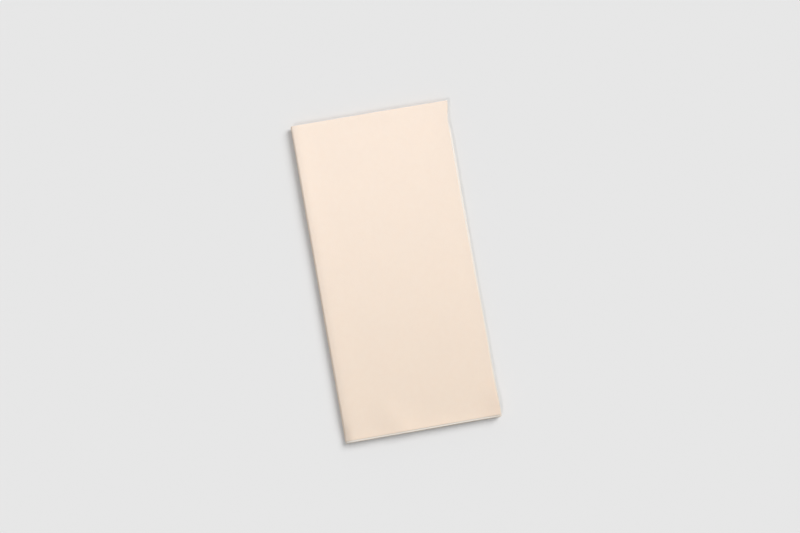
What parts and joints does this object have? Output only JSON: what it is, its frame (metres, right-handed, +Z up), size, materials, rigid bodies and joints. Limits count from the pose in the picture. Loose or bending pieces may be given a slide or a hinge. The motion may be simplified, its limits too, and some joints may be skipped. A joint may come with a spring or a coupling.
{
  "type": "stack of paper napkins",
  "caption": "Short stack of plain folded tissue napkins, long and narrow, lying flat and squared up, each folded from one sheet with soft creases.",
  "frame": {"origin": "on the surface that the stack lies on, under the middle of its outline", "axes": "+Z up; +Y along the napkins, towards the end closed by the first fold; -X towards the spine"},
  "size_m": [0.0983, 0.2008, 0.005],
  "materials": {
    "tissue": "matte, soft, plain peach tissue"
  },
  "bodies": {
    "root": {"bottom_napkin": "tissue", "middle_napkin": "tissue", "top_napkin": "tissue"}
  },
  "joints": []
}
